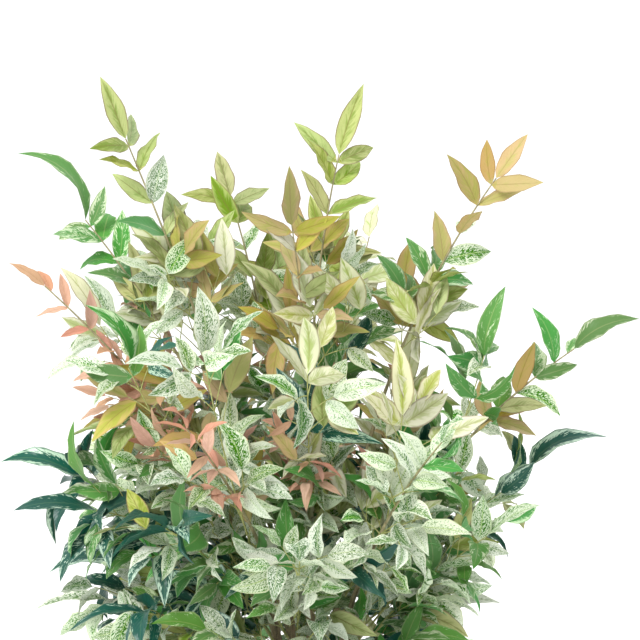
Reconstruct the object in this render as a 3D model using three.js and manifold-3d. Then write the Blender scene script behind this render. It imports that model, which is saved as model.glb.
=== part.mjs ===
// Variegated heavenly bamboo: a clump of slender canes from one woody root crown.
// Every cane ends in a spray of leaves and carries three more sprays below it.
// Millimetres, +Z up. The origin is on the ground, under the middle of the root crown.
import * as THREE from "three";
import { mergeVertices } from "three/addons/utils/BufferGeometryUtils.js";
import Module from "manifold-3d";

const wasm = await Module();
wasm.setup();

// ---- driving dimensions, mm and degrees ----
const CLEARANCE = 0.3; // between two solids that meet
const ROOT = {
  groundRadius: 60,
  height: 34,
  profile: [[1, 0], [0.84, 0.3], [0.68, 0.72], [0.58, 1]], // share of radius, share of height
  segments: 25,
  lobes: 5,
  lobeDepth: 0.09,
};
const CANE = {
  footRadius: 4.6,
  tipRadius: 1.8,
  share: 0.62, // of the line from foot to last leaf; the tip spray takes the rest
  rise: 0.38, // how far the foot's and the tip's directions carry, as shares of the reach
  arch: 0.34,
  ring: 27, // radius of the ring of feet on the root crown's table
  sides: 8,
  steps: 8,
};
const STALK = { startRadius: 2.6, tipRadius: 1.8, straight: 7, climb: 0.42, spread: 0.3, steps: 4 };
const TWIG = {
  startRadius: 1,
  tipRadius: 0.8,
  leans: [34, 62],
  lengths: [0.8, 1.2], // shares of the spray's rule
  shortest: 14, // below it the leaf sits on the stalk itself
  tries: 10,
  shrink: 0.1, // with each try
};
const LEAF = {
  widest: 0.42, // shares of the leaf's length
  thickness: 0.016,
  droop: 0.1,
  fold: 0.14, // share of its width
  sink: 0.6, // of a leaf's base back past the twig's end or middle line
  setback: 5, // of the last pair from the twig's end
  spread: [44, 62], // of a side leaf from its twig
  tilt: 0.25,
  girth: 0.3, // share of its width that is kept clear of the canes
  sizes: [1, 0.85, 0.7], // tried in turn until the leaf fits
};
const SPACE_GAP = 1.6; // between a leaf's corners and the border of its spray's own space
const LIMB_GAP = 1.5; // between a leaf or twig and a cane
const LEAF_GAP = 1; // between leaves on two twigs of one spray
const LOWEST_LEAF = 120;
const MERGE = 0.02; // edges this short are closed up when a spray is fused
const LIGHT = [0.1, -1, 0]; // the side that the blades turn to
const FACING_CHANCE = 0.5;
const BARK = { colour: 0x7d6a4a, roughness: 0.85 };
const ROOT_BARK = { colour: 0x6b5a45, roughness: 0.95 };
const LEAF_ROUGHNESS = 0.5;

// The crown's half width at each height, and how far to the right its middle stands there:
// no leaf but a stalk's last one reaches past it.
const CROWN = [
  { height: 120, radius: 150, middle: -30 },
  { height: 200, radius: 255, middle: -55 },
  { height: 320, radius: 305, middle: -60 },
  { height: 420, radius: 335, middle: -40 },
  { height: 520, radius: 335, middle: -10 },
  { height: 620, radius: 330, middle: 0 },
  { height: 700, radius: 315, middle: -30 },
  { height: 800, radius: 315, middle: -30 },
  { height: 900, radius: 250, middle: -30 },
];

// Kinds of leaf: colour, and the size of a full-grown one.
const KINDS = {
  cream: { colour: 0xb9c894, length: 76, width: 34 },
  teal: { colour: 0x3f7561, length: 78, width: 32 },
  green: { colour: 0x86a94f, length: 78, width: 33 },
  lime: { colour: 0xc2c277, length: 74, width: 32 },
  olive: { colour: 0xa3a552, length: 74, width: 32 },
  gold: { colour: 0xc9a968, length: 74, width: 32 },
  coral: { colour: 0xd1836a, length: 58, width: 25 },
};

// One row for each cane, in order round the clump: how far its last leaf's tip stands from
// the clump's middle, to the right, to the back and up; that leaf's span, how far it arches
// over, how far it faces the front, and how much flatter the cane lies there than the straight
// way to it; where the cane's foot stands, as a share of the ring of feet; and the kinds of
// leaf on its tip, upper, middle and low sprays.
const CANES = [
  ["far_right", [390, -12, 617], [86, 75, 0.8, 30], 1, ["green", "green", "teal", "cream"]],
  ["right", [264, 22, 827], [65, 12, 0.9, 22], 1, ["gold", "lime", "cream", "teal"]],
  ["upright", [59, 34, 890], [90, 12, 1, 14], 0.35, ["olive", "green", "green", "cream"]],
  ["back", [92, 335, 720], [64, 30, -0.5, 22], 1, ["lime", "cream", "green", "cream"]],
  ["back_left", [-118, 165, 798], [66, 18, 0.9, 22], 1, ["olive", "green", "cream", "teal"]],
  ["left_arch", [-343, 52, 805], [112, 98, 0.1, 22], 1, ["green", "cream", "teal", "teal"]],
  ["spire", [-245, -20, 898], [78, 12, 1.2, 8], 1, ["olive", "lime", "teal", "cream"]],
  ["left", [-343, -84, 691], [50, 18, 0.9, 22], 1, ["coral", "green", "teal", "teal"]],
  ["front_left", [-150, -330, 560], [54, 46, 0.5, 22], 1, ["coral", "cream", "cream", "cream"]],
  ["heart", [-29, -112, 795], [75, 12, 1, 22], 0.35, ["gold", "lime", "cream", "cream"]],
  ["front_right", [168, -322, 545], [60, 46, 0.5, 22], 1, ["cream", "lime", "cream", "green"]],
].map(([name, reach, end, ring, kinds]) => ({ name, reach, end, ring, kinds }));

// Sprays that leave a cane's side: at which of the cane's steps, the spray's height, its reach
// from the crown's middle and where that middle stands, and its turn from the cane's own sector.
const TIERS = [
  { name: "upper", step: 4, height: 655, radius: 240, middle: -55, turn: -9 },
  { name: "middle", step: 3, height: 430, radius: 330, middle: -37, turn: 12 },
  { name: "low", step: 2, height: 275, radius: 280, middle: -55, turn: -4 },
];
// Side sprays that leave their tier's height, reach or turn.
const OWN_PLACES = {
  spray_far_right_middle: { height: 485, radius: 385 },
  spray_far_right_upper: { height: 635, radius: 285 },
  spray_heart_middle: { turn: 6 },
  spray_heart_low: { turn: -12 },
  spray_right_upper: { height: 600, radius: 210 },
  spray_front_right_upper: { height: 590, radius: 220 },
};
// The share of the rule's reach that the twigs of the most open sprays have.
const TWIG_REACH = { spray_far_right_tip: 0.42, spray_right_tip: 0.6, spray_spire_tip: 0.8 };
const SIDE_FRONT = 0.4; // how far a side spray's last leaf faces the front
const SECTOR = 360 / CANES.length;
const TIER_WANDER = 26; // how far a side spray's height strays from its tier's
const TURN_WANDER = 5;
const TURN_STEP = 4; // that a stalk turns aside at a time to miss the other limbs
const TURN_TRIES = [0, 1, -1, 2, -2, 3, -3, 4, -4, 5, -5];
const STALK_GAP = 12; // from a stalk's middle line to that of any other limb

// A tip spray is open, with leaves of life size; a side spray is dense, with larger ones.
// Pairs of twigs stand along the stalk from first to last, shorter towards its end by the
// power slope, and are turned round it by turns. A twig shorter than bareUnder has only its
// end leaf.
const SPRAY = {
  tip: {
    startRadius: CANE.tipRadius,
    pairs: 6,
    first: 0.04,
    last: 0.86,
    longest: 95,
    shortest: 0,
    slope: 1.6,
    bareUnder: 50,
    twist: 38,
    lift: 0.2,
    outward: 0.1,
    light: 0.8,
    leafPairs: 1,
    leafSize: 1,
    fewestLeaves: 1,
  },
  side: {
    startRadius: STALK.startRadius,
    pairs: 5,
    first: 0.34,
    last: 0.9,
    longest: 66,
    shortest: 34,
    slope: 1,
    bareUnder: 0,
    twist: 55,
    lift: -0.02,
    outward: 1.1,
    light: 0.2,
    leafPairs: 2,
    leafSize: 1.6,
    lastLeafSize: 1.4,
    fewestLeaves: 2,
  },
};

// ---- small helpers ----
const UP = new THREE.Vector3(0, 0, 1);
const radians = THREE.MathUtils.degToRad;
const vector = (x, y, z) => new THREE.Vector3(x, y, z);
const compass = (degrees) => vector(Math.cos(radians(degrees)), Math.sin(radians(degrees)), 0);

// A seeded row of numbers from 0 to 1.
function dice(seed) {
  let state = (seed * 2654435 + 12345) % 4294967296;
  return (low = 0, high = 1) => {
    state = (1664525 * state + 1013904223) % 4294967296;
    return low + (high - low) * (state / 4294967296);
  };
}

// The shortest way between segments a-b and c-d.
function segmentGap(a, b, c, d) {
  const u = b.clone().sub(a);
  const v = d.clone().sub(c);
  const w = a.clone().sub(c);
  const uu = u.dot(u) || 1e-9;
  const vv = v.dot(v) || 1e-9;
  const uv = u.dot(v);
  const slack = uu * vv - uv * uv;
  const clamp = (x) => Math.min(1, Math.max(0, x));
  let s = slack > 1e-9 ? clamp((uv * v.dot(w) - vv * u.dot(w)) / slack) : 0;
  const t = clamp((uv * s + v.dot(w)) / vv);
  s = clamp((uv * t - u.dot(w)) / uu);
  return u.multiplyScalar(s).add(a).distanceTo(v.multiplyScalar(t).add(c));
}

// The crown's radius and middle at a height.
function crownAt(height) {
  const above = CROWN.findIndex((row) => row.height >= height);
  if (above === 0) return CROWN[0];
  if (above < 0) return CROWN.at(-1);
  const [low, high] = [CROWN[above - 1], CROWN[above]];
  const share = (height - low.height) / (high.height - low.height);
  const between = (key) => THREE.MathUtils.lerp(low[key], high[key], share);
  return { radius: between("radius"), middle: between("middle") };
}

// ---- solids ----
function toSolid(geometry) {
  const bare = geometry.clone();
  bare.deleteAttribute("normal");
  bare.deleteAttribute("uv");
  const merged = mergeVertices(bare, 1e-4);
  return new wasm.Manifold(
    new wasm.Mesh({
      numProp: 3,
      vertProperties: new Float32Array(merged.attributes.position.array),
      triVerts: new Uint32Array(merged.index.array),
    }),
  );
}

function toGeometry(solid) {
  const mesh = solid.getMesh();
  const geometry = new THREE.BufferGeometry();
  geometry.setAttribute("position", new THREE.BufferAttribute(mesh.vertProperties, 3));
  geometry.setIndex(new THREE.BufferAttribute(mesh.triVerts, 1));
  const flat = geometry.toNonIndexed();
  flat.computeVertexNormals();
  return flat;
}

// A tapering limb bent along part of a curve: a cylinder whose height runs along it.
function limb(curve, { from = 0, to = 1, startRadius, tipRadius, sides, steps }) {
  const geometry = new THREE.CylinderGeometry(tipRadius, startRadius, 1, sides, steps);
  const position = geometry.attributes.position;
  const level = acrossCurve(curve);
  for (let i = 0; i < position.count; i++) {
    const t = THREE.MathUtils.lerp(from, to, position.getY(i) + 0.5);
    const along = curve.getTangent(t);
    const across = level.clone().addScaledVector(along, -level.dot(along)).normalize();
    const other = across.clone().cross(along);
    const point = curve.getPoint(t);
    point.addScaledVector(across, position.getX(i));
    point.addScaledVector(other, position.getZ(i));
    position.setXYZ(i, point.x, point.y, point.z);
  }
  return geometry;
}

// The level direction square to a curve's run.
function acrossCurve(curve) {
  const run = curve.getPoint(1).sub(curve.getPoint(0));
  return vector(-run.y, run.x, 0).normalize();
}

// A leaf of eight faces: an octahedron drawn out to a base, a tip and two edges, folded up
// along its midrib. Its tip droops, or with an arch in degrees its middle stands up instead.
function leafGeometry({ base, along, normal, length, width, arch = 0 }) {
  const geometry = new THREE.OctahedronGeometry(1);
  const side = along.clone().cross(normal).normalize();
  const hump = 2 * length * Math.tan(radians(arch) / 4);
  const position = geometry.attributes.position;
  for (let i = 0; i < position.count; i++) {
    const [x, y, z] = [position.getX(i), position.getY(i), position.getZ(i)];
    const reach = y < -0.5 ? 0 : y > 0.5 ? 1 : LEAF.widest;
    const bend = arch ? hump * reach * (1 - reach) : -LEAF.droop * length * reach * reach;
    const point = base.clone().addScaledVector(along, reach * length);
    point.addScaledVector(side, (x * width) / 2);
    point.addScaledVector(normal, Math.abs(x) * LEAF.fold * width + bend + (z * LEAF.thickness * length) / 2);
    position.setXYZ(i, point.x, point.y, point.z);
  }
  return geometry;
}

// ---- the clump's lines ----
// A cane climbs from its foot, then bows out to its last leaf's tip in one upright plane.
function caneLine(cane, index) {
  const tip = vector(...cane.reach);
  const bow = cane.end.at(-1);
  const foot = compass(SECTOR * index).multiplyScalar(CANE.ring * cane.ring);
  foot.z = ROOT.height + CLEARANCE;
  const size = tip.distanceTo(foot);
  const outward = vector(tip.x - foot.x, tip.y - foot.y, 0);
  const pitch = Math.atan2(tip.z - foot.z, outward.length()) - radians(bow);
  outward.normalize();
  const end = outward.clone().multiplyScalar(Math.cos(pitch)).addScaledVector(UP, Math.sin(pitch));
  return new THREE.CubicBezierCurve3(
    foot,
    foot.clone().addScaledVector(UP, size * CANE.rise),
    tip.clone().addScaledVector(end, -size * CANE.arch),
    tip,
  );
}

const caneRadiusAt = (t) => THREE.MathUtils.lerp(CANE.footRadius, CANE.tipRadius, t / CANE.share);

// A side spray's stalk leaves the cane square to its bark, climbs, and bows over to its aim.
function stalkLine(line, at, aim) {
  const centre = line.getPoint(at);
  const along = line.getTangent(at);
  const outward = vector(aim.x - centre.x, aim.y - centre.y, 0).normalize();
  const square = outward.clone().addScaledVector(along, -outward.dot(along)).normalize();
  const start = centre.clone().addScaledVector(square, caneRadiusAt(at) + CLEARANCE);
  const reach = aim.distanceTo(start);
  const crest = start.clone().addScaledVector(outward, reach * STALK.spread);
  crest.addScaledVector(UP, reach * STALK.climb);
  const lead = start.clone().addScaledVector(square, STALK.straight);
  return new THREE.CubicBezierCurve3(start, lead, crest, aim);
}

// Canes and stalks as short straight runs, for the tests of space.
const AXIS_RUNS = 10;
function runsOf(line, from, to) {
  const share = (i) => from + ((to - from) * i) / AXIS_RUNS;
  return Array.from({ length: AXIS_RUNS + 1 }, (_, i) => line.getPoint(share(i)));
}

function axisGap(axis, a, b = a) {
  let least = Infinity;
  for (let i = 1; i < axis.length; i++) {
    least = Math.min(least, segmentGap(axis[i - 1], axis[i], a, b));
  }
  return least;
}

function axesGap(one, other) {
  let least = Infinity;
  for (let i = 1; i < one.length; i++) least = Math.min(least, axisGap(other, one[i - 1], one[i]));
  return least;
}

const canes = CANES.map((cane, index) => {
  const line = caneLine(cane, index);
  return { ...cane, index, line, axis: runsOf(line, 0, CANE.share) };
});

// A cane's own line runs on as the stalk of its tip spray.
const sprays = canes.map((cane) => {
  const from = CANE.share + CLEARANCE / cane.line.getLength();
  const axis = runsOf(cane.line, from, 1);
  const name = `spray_${cane.name}_tip`;
  const kind = KINDS[cane.kinds[0]];
  const [span, arch, front] = cane.end;
  return { name, line: cane.line, from, axis, rule: SPRAY.tip, kind, span, arch, front };
});

// A side spray takes the first turn, either way from its sector, that no cane or stalk crosses.
function sideSpray(cane, tier, k) {
  const name = `spray_${cane.name}_${tier.name}`;
  const place = { ...tier, ...OWN_PLACES[name] };
  const roll = dice(100 + cane.index * 10 + k);
  const sector = SECTOR * cane.index + place.turn + roll(-TURN_WANDER, TURN_WANDER);
  const height = place.height + roll(-TIER_WANDER, TIER_WANDER);
  const at = (tier.step / CANE.steps) * CANE.share;
  const routes = TURN_TRIES.map((turn) => {
    const aim = compass(sector + turn * TURN_STEP).multiplyScalar(place.radius);
    aim.add(vector(place.middle, 0, height));
    const line = stalkLine(cane.line, at, aim);
    return { line, axis: runsOf(line, 0, 1) };
  });
  const others = [...canes.filter((other) => other !== cane), ...sprays];
  const isFree = ({ axis }) => others.every((other) => axesGap(axis, other.axis) > STALK_GAP);
  const { line, axis } = routes.find(isFree) ?? routes[0];
  const kind = KINDS[cane.kinds[k + 1]];
  const span = kind.length * SPRAY.side.lastLeafSize;
  return { name, line, from: 0, axis, rule: SPRAY.side, kind, span, front: SIDE_FRONT };
}
TIERS.forEach((tier, k) => {
  for (const cane of canes) sprays.push(sideSpray(cane, tier, k));
});

// A point is in a spray's own space if no other spray's axis is as near.
function inOwnSpace(point, own) {
  const reach = axisGap(own.axis, point) + SPACE_GAP;
  return sprays.every((other) => other === own || axisGap(other.axis, point) > reach);
}

function inCrown(p) {
  const { radius, middle } = crownAt(p.z);
  return p.z > LOWEST_LEAF && Math.hypot(p.x - middle, p.y) < radius;
}

const clearOfCanes = (a, b, halfWidth) =>
  canes.every((cane) => axisGap(cane.axis, a, b) > CANE.footRadius + halfWidth + LIMB_GAP);

// ---- a spray ----
// A blade faces up, out from the clump and to the light, with some chance, square to its run.
function bladeNormal(point, along, { outward, light }, roll) {
  const facing = vector(point.x, point.y, 0).normalize().multiplyScalar(outward);
  const chance = () => roll(-FACING_CHANCE, FACING_CHANCE);
  facing.addScaledVector(vector(...LIGHT), light).add(UP).add(vector(chance(), chance(), chance()));
  return facing.addScaledVector(along, -facing.dot(along)).normalize();
}

// The direction that leans from along towards side.
function leanTo(along, side, degrees) {
  const lean = radians(degrees);
  return along.clone().multiplyScalar(Math.cos(lean)).addScaledVector(side, Math.sin(lean));
}

const isClearOf = (solid, others) => others.every((other) => solid.minGap(other, LEAF_GAP) >= LEAF_GAP);

// The largest leaf that keeps to its spray's space and off the canes and the spray's other
// leaves, or none.
function growLeaf(spray, base, along, normal) {
  for (const size of LEAF.sizes) {
    const length = spray.kind.length * spray.rule.leafSize * size;
    const leaf = fitLeaf(spray, { base, along, normal, length }, inCrown);
    if (leaf.length) return leaf;
  }
  return [];
}

function fitLeaf(spray, shape, staysIn) {
  const { base, along, normal, length } = shape;
  const width = (length * spray.kind.width) / spray.kind.length;
  const side = along.clone().cross(normal).normalize();
  const middle = base.clone().addScaledVector(along, length * LEAF.widest);
  const tip = base.clone().addScaledVector(along, length);
  const edges = [-0.5, 0.5].map((share) => middle.clone().addScaledVector(side, width * share));
  const keepsIn = (p) => staysIn(p) && inOwnSpace(p, spray);
  if (![tip, middle, ...edges].every(keepsIn) || !clearOfCanes(base, tip, width * LEAF.girth)) return [];
  const leaf = toSolid(leafGeometry({ ...shape, width }));
  return isClearOf(leaf, spray.leaves) ? [leaf] : [];
}

// A pair of leaves that leave a twig on opposite sides.
function growLeafPair(spray, at, along, normal, roll) {
  const side = along.clone().cross(normal).normalize();
  return [-1, 1].flatMap((hand) => {
    const way = leanTo(along, side, roll(...LEAF.spread) * hand);
    const tilt = normal.clone().addScaledVector(side, -hand * LEAF.tilt);
    tilt.addScaledVector(way, -tilt.dot(way)).normalize();
    return growLeaf(spray, at.clone().addScaledVector(way, -LEAF.sink), way, tilt);
  });
}

// A twig's end leaf, the pair just behind it, and any further pairs down the twig.
function growLeaves(spray, end, along, length, pairs, roll) {
  const normal = bladeNormal(end, along, spray.rule, roll);
  const leaves = growLeaf(spray, end.clone().addScaledVector(along, -LEAF.sink), along, normal);
  return [...leaves, ...growLeafPairs(spray, end, along, normal, length, pairs, roll)];
}

function growLeafPairs(spray, end, along, normal, length, pairs, roll) {
  const places = Array.from({ length: pairs }, (_, k) => LEAF.setback + (length * k) / pairs);
  return places.flatMap((back) => {
    return growLeafPair(spray, end.clone().addScaledVector(along, -back), along, normal, roll);
  });
}

// A stalk's last leaf spans the rest of its line, to the line's own end: the largest that fits.
function growLastLeaf(spray) {
  const anywhere = () => true;
  let base;
  for (const size of LEAF.sizes) {
    base = 1 - (spray.span * size) / spray.line.getLength();
    const along = spray.line.getPoint(1).sub(spray.line.getPoint(base));
    const length = along.length();
    along.normalize();
    const normal = UP.clone().addScaledVector(vector(...LIGHT), spray.front);
    normal.addScaledVector(along, -normal.dot(along)).normalize();
    const start = spray.line.getPoint(base).addScaledVector(along, -LEAF.sink);
    const leaf = fitLeaf(spray, { base: start, along, normal, length, arch: spray.arch }, anywhere);
    if (leaf.length) return { base, leaf };
  }
  return { base, leaf: [] };
}

// A twig is shortened and turned until it fits and carries enough leaves, or is left out.
function growTwig(spray, at, along, side, reach, roll) {
  const { lift, leafPairs, bareUnder, fewestLeaves } = spray.rule;
  for (let attempt = 0; attempt < TWIG.tries; attempt++) {
    const way = leanTo(along, side, roll(...TWIG.leans));
    const length = reach * roll(...TWIG.lengths) * (1 - TWIG.shrink * attempt);
    if (length < TWIG.shortest) {
      spray.leaves.push(...growLeaf(spray, at, way, bladeNormal(at, way, spray.rule, roll)));
      return;
    }
    const end = at.clone().addScaledVector(way, length).addScaledVector(UP, length * lift);
    const middle = at.clone().add(end).multiplyScalar(0.5);
    const fits = [middle, end].every((p) => inCrown(p) && inOwnSpace(p, spray));
    if (!fits || !clearOfCanes(at, end, TWIG.startRadius)) continue;
    const line = new THREE.LineCurve3(at, end);
    const twig = toSolid(limb(line, { ...TWIG, sides: 3, steps: 1 }));
    if (!isClearOf(twig, spray.leaves)) continue;
    const pairs = length < bareUnder ? 0 : leafPairs;
    const leaves = growLeaves(spray, end, line.getTangent(1), length, pairs, roll);
    if (leaves.length < fewestLeaves) continue;
    spray.limbs.push(twig);
    spray.leaves.push(...leaves);
    return;
  }
}

function spraySolid(spray, index) {
  const roll = dice(index + 1);
  const { line, from, rule } = spray;
  const { startRadius } = rule;
  const { tipRadius, steps } = STALK;
  const longest = rule.longest * (TWIG_REACH[spray.name] ?? 1);
  spray.leaves = [];
  const { base: leafless, leaf } = growLastLeaf(spray);
  spray.leaves.push(...leaf);
  const end = line.getPoint(leafless);
  const endWay = line.getPoint(1).sub(end).normalize();
  spray.leaves.push(...growLeafPairs(spray, end, endWay, bladeNormal(end, endWay, rule, roll), 0, 1, roll));
  spray.limbs = [toSolid(limb(line, { startRadius, tipRadius, from, to: leafless, sides: 3, steps }))];
  for (let k = 0; k < rule.pairs; k++) {
    const share = k / (rule.pairs - 1);
    const t = THREE.MathUtils.lerp(from, leafless, THREE.MathUtils.lerp(rule.first, rule.last, share));
    const at = line.getPoint(t);
    const way = line.getTangent(t);
    const twist = radians(k % 2 ? rule.twist : -rule.twist);
    const side = way.clone().cross(bladeNormal(at, way, rule, roll)).applyAxisAngle(way, twist);
    const reach = THREE.MathUtils.lerp(rule.shortest, longest, (1 - share) ** rule.slope);
    for (const hand of [1, -1]) growTwig(spray, at, way, side.clone().multiplyScalar(hand), reach, roll);
  }
  const fused = wasm.Manifold.union([...spray.limbs, ...spray.leaves]).simplify(MERGE);
  return fused.decompose().sort((a, b) => b.volume() - a.volume())[0];
}

// The woody root crown: a low flared stool with shallow lobes and a flat table for the canes.
function rootCrown() {
  const { groundRadius, height, profile, segments, lobes, lobeDepth } = ROOT;
  const rim = profile.map(([r, z]) => new THREE.Vector2(groundRadius * r, height * z));
  const outline = [new THREE.Vector2(0, 0), ...new THREE.SplineCurve(rim).getPoints(5)];
  outline.push(new THREE.Vector2(0, height));
  const geometry = new THREE.LatheGeometry(outline, segments);
  geometry.rotateX(Math.PI / 2);
  const position = geometry.attributes.position;
  for (let i = 0; i < position.count; i++) {
    const [x, y, z] = [position.getX(i), position.getY(i), position.getZ(i)];
    const swell = 1 + lobeDepth * Math.cos(lobes * Math.atan2(y, x)) * (1 - z / height);
    position.setXYZ(i, x * swell, y * swell, z);
  }
  return geometry;
}

// ---- the assembly ----
const plant = new THREE.Group();
plant.name = "heavenly_bamboo";

function addPart(name, geometry, { colour, roughness }) {
  const material = new THREE.MeshStandardMaterial({ color: colour, roughness, metalness: 0 });
  const mesh = new THREE.Mesh(geometry, material);
  mesh.name = name;
  plant.add(mesh);
}

addPart("root_crown", rootCrown(), ROOT_BARK);
for (const cane of canes) {
  const { footRadius: startRadius, tipRadius, share: to, sides, steps } = CANE;
  addPart(`cane_${cane.name}`, limb(cane.line, { startRadius, tipRadius, to, sides, steps }), BARK);
}
sprays.forEach((spray, index) => {
  const finish = { colour: spray.kind.colour, roughness: LEAF_ROUGHNESS };
  addPart(spray.name, toGeometry(spraySolid(spray, index)), finish);
});

export default plant;
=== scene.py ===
"""Variegated heavenly bamboo: the looks of the clump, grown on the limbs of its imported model.

Metres, +Z up, the plant's front towards -Y. The canes and stalks run where the model's do, by the
same rule; from them the twigs branch once more and carry leaflets of life size.
"""

import math

import bpy
import numpy as np
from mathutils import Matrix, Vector


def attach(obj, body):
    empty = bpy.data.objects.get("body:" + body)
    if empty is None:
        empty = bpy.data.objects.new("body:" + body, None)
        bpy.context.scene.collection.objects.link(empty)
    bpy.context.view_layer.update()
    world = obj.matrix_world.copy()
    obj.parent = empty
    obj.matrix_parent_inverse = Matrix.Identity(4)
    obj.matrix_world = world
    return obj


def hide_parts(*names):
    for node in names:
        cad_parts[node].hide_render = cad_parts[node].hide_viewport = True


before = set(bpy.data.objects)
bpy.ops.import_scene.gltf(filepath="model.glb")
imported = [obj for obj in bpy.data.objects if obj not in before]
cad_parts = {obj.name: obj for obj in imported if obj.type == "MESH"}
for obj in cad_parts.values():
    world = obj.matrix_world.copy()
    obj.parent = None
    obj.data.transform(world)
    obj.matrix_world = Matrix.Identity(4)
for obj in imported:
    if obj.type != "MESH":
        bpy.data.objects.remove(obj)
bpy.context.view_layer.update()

# ---- the clump's rule: metres and degrees ----
CLEARANCE = 0.0003
ROOT = {
    "ground_radius": 0.060,
    "height": 0.034,
    "profile": [(1, 0), (0.84, 0.3), (0.68, 0.72), (0.58, 1)],  # shares of its radius and height
}
CANE = {
    "foot_radius": 0.0046,
    "tip_radius": 0.0018,
    "share": 0.62,  # of the line from foot to last leaf; the tip spray takes the rest
    "rise": 0.38,  # how far it first heads straight up, as a share of the way from foot to tip
    "arch": 0.34,  # and how far it comes in along its end's own direction
    "ring": 0.027,  # radius of the ring that the feet stand on
    "steps": 8,
}
STALK = {"straight": 0.007, "climb": 0.42, "spread": 0.3}  # square to the cane, then up and out
AXIS_RUNS = 10

# The crown's half width at each height, and how far to the right its middle stands there.
CROWN = {
    "height": [0.12, 0.20, 0.32, 0.42, 0.52, 0.62, 0.70, 0.80, 0.90],
    "radius": [0.150, 0.255, 0.305, 0.335, 0.335, 0.330, 0.315, 0.315, 0.250],
    "middle": [-0.030, -0.055, -0.060, -0.040, -0.010, 0.000, -0.030, -0.030, -0.030],
}
LOWEST_LEAF = 0.12

# One row for each cane, in order round the clump: where its last leaf's tip stands, its foot's
# share of the ring, the leading kind of leaf on its tip, upper, middle and low sprays, and its
# end: the last leaf's span from base to tip, how far that leaf arches over, in radians, how far
# it faces the front, and how far the cane's own end bows out, in degrees.
CANES = [
    ("far_right", (0.390, -0.012, 0.617), 1, ("green", "green", "teal", "cream"), (0.086, 1.3, 0.8, 30)),
    ("right", (0.264, 0.022, 0.827), 1, ("gold", "lime", "cream", "teal"), (0.065, 0.2, 0.9, 22)),
    ("upright", (0.059, 0.034, 0.890), 0.35, ("olive", "green", "green", "cream"), (0.090, 0.2, 1.0, 14)),
    ("back", (0.092, 0.335, 0.720), 1, ("lime", "cream", "green", "cream"), (0.064, 0.5, -0.5, 22)),
    ("back_left", (-0.118, 0.165, 0.798), 1, ("olive", "green", "cream", "teal"), (0.066, 0.3, 0.9, 22)),
    ("left_arch", (-0.343, 0.052, 0.805), 1, ("green", "cream", "teal", "teal"), (0.112, 1.7, 0.1, 22)),
    ("spire", (-0.245, -0.020, 0.898), 1, ("olive", "lime", "teal", "cream"), (0.078, 0.2, 1.2, 8)),
    ("left", (-0.343, -0.084, 0.691), 1, ("coral", "green", "teal", "teal"), (0.050, 0.3, 0.9, 22)),
    ("front_left", (-0.150, -0.330, 0.560), 1, ("coral", "cream", "cream", "cream"), (0.054, 0.8, 0.5, 22)),
    ("heart", (-0.029, -0.112, 0.795), 0.35, ("gold", "lime", "cream", "cream"), (0.075, 0.2, 1.0, 22)),
    ("front_right", (0.168, -0.322, 0.545), 1, ("cream", "lime", "cream", "green"), (0.060, 0.8, 0.5, 22)),
]
# A tier's stalks leave their canes at one step and reach for one height and one radius, round an
# axis that stands this far to the right, each turned on from its cane's own sector.
TIERS = [
    {"name": "upper", "step": 4, "height": 0.655, "radius": 0.240, "middle": -0.055, "turn": -9},
    {"name": "middle", "step": 3, "height": 0.430, "radius": 0.330, "middle": -0.037, "turn": 12},
    {"name": "low", "step": 2, "height": 0.275, "radius": 0.280, "middle": -0.055, "turn": -4},
]
OWN_PLACES = {  # of the side sprays that leave their tier's height, radius or turn
    ("far_right", "middle"): {"height": 0.485, "radius": 0.385},
    ("far_right", "upper"): {"height": 0.635, "radius": 0.285},
    ("heart", "middle"): {"turn": 6},
    ("heart", "low"): {"turn": -12},
    ("right", "upper"): {"height": 0.600, "radius": 0.210},
    ("front_right", "upper"): {"height": 0.590, "radius": 0.220},
}
TIP_REACH = {"far_right": 0.42, "right": 0.6, "spire": 0.8}  # of twigs on open tip sprays
SIDE_END_ARCH = (0.5, 1.2)  # of the last leaf of a side spray
SIDE_END_FRONT = 0.4
SECTOR = 360 / len(CANES)
TIER_WANDER = 0.026
TURN_WANDER = 5
TURN_STEP = 4
TURN_TRIES = [0, 1, -1, 2, -2, 3, -3, 4, -4, 5, -5]
STALK_GAP = 0.012
DICE = {"period": 2**32, "spread": 2654435, "start": 12345, "factor": 1664525, "step": 1013904223}
STALK_SEED = {"first": 100, "each_cane": 10}
BARK_SEED = 500

# ---- the finer growth ----
# Kinds of leaflet: full-grown size, and limits of chance for how far it arches over (radians),
# how sharply it folds on its midrib, and how far its tip curls under.
KINDS = {
    "cream": {"length": 0.050, "width": 0.0220, "arch": (0.1, 1.0), "fold": (0.1, 0.45), "curl": (0, 0.16)},
    "teal": {"length": 0.060, "width": 0.0225, "arch": (0.4, 1.5), "fold": (0.15, 0.7), "curl": (0.02, 0.3)},
    "green": {"length": 0.058, "width": 0.0225, "arch": (0.2, 1.2), "fold": (0.12, 0.5), "curl": (0, 0.2)},
    "lime": {"length": 0.058, "width": 0.0215, "arch": (0.05, 0.6), "fold": (0.06, 0.3), "curl": (0, 0.1)},
    "olive": {"length": 0.060, "width": 0.0215, "arch": (0.05, 0.7), "fold": (0.06, 0.3), "curl": (0, 0.1)},
    "gold": {"length": 0.060, "width": 0.0210, "arch": (0.05, 0.5), "fold": (0.06, 0.3), "curl": (0, 0.1)},
    "coral": {"length": 0.038, "width": 0.0115, "arch": (0.05, 0.7), "fold": (0.1, 0.5), "curl": (0, 0.15)},
}
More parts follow.
